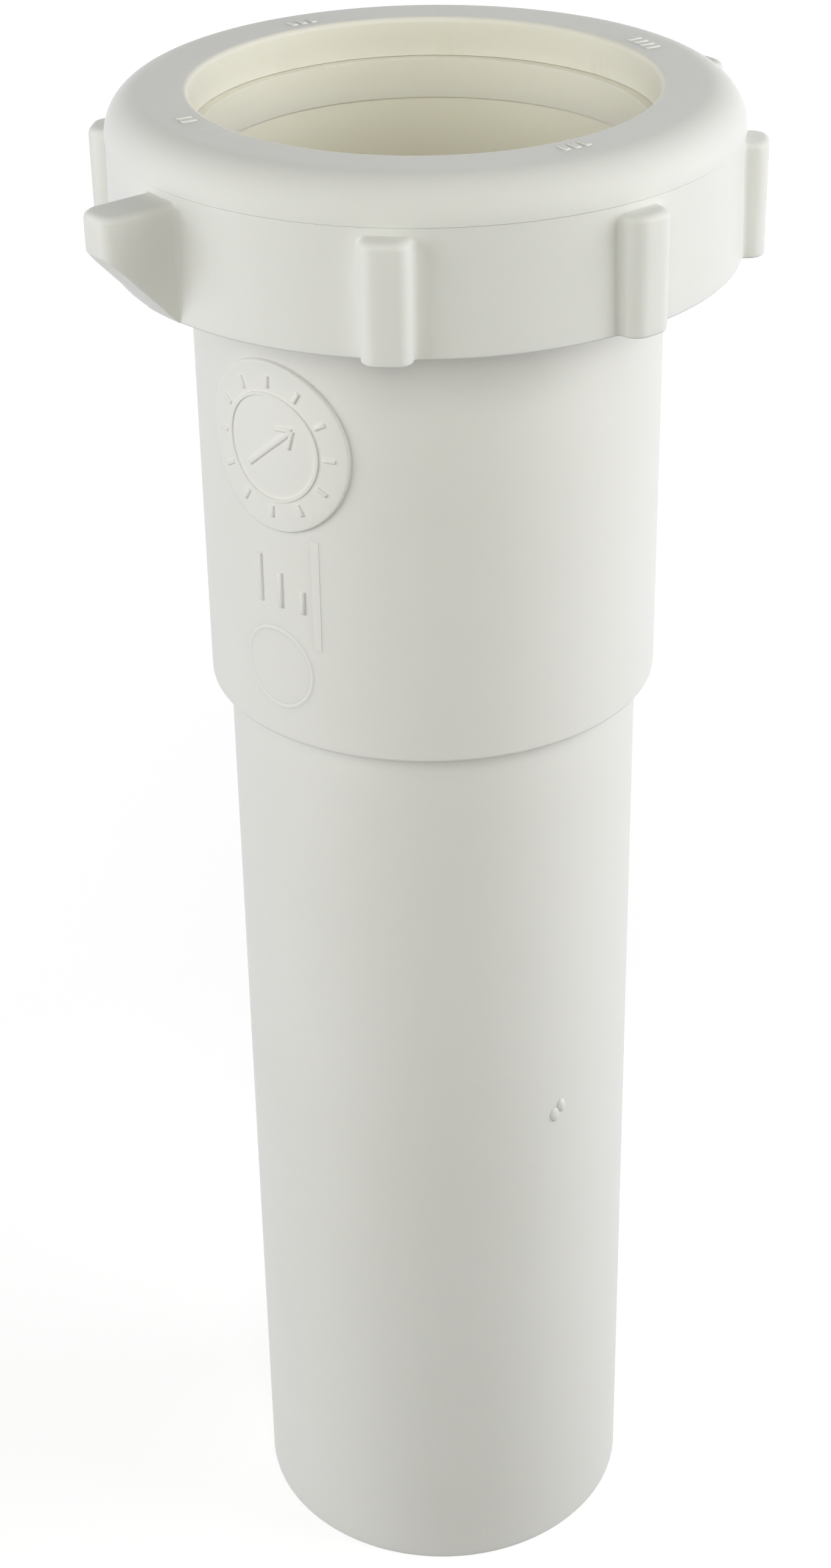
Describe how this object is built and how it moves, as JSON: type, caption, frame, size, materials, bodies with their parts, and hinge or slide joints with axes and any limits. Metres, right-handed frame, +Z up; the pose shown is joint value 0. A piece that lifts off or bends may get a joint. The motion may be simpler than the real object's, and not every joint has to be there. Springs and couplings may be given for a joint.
{
  "type": "slip-joint extension tube",
  "caption": "Straight white plastic waste tube with a plain tail, a wider slip socket and a winged nut that squeezes a bevelled washer onto an inserted pipe.",
  "frame": {"origin": "middle of the tail's lower end, where the tube stands", "axes": "+Z up along the tube from the tail to the socket's mouth, +X along the nut's wings when the nut is tight"},
  "size_m": [0.0676, 0.0584, 0.1537],
  "materials": {
    "tube_plastic": "satin moulded polypropylene, slightly translucent white",
    "nut_plastic": "satin moulded polypropylene, slightly translucent white",
    "washer_plastic": "smooth waxy polyethylene, cream white"
  },
  "bodies": {
    "tube": {"extension_tube": "tube_plastic"},
    "washer": {"slip_washer": "washer_plastic"},
    "nut": {"slip_nut": "nut_plastic"}
  },
  "joints": [
    {"name": "washer_lift", "type": "slide", "parent": "tube", "child": "washer", "axis": [0, 0, 1], "range_m": [0, 0.00884]},
    {"name": "nut_turn", "type": "hinge", "parent": "washer", "child": "nut", "pos_m": [0, 0, 0.15], "axis": [0, 0, 1], "range_deg": [0, 1440]}
  ],
  "couplings": [
    {"joint": "washer_lift", "follows": "nut_turn", "m_per_rad": 0.00035157}
  ]
}
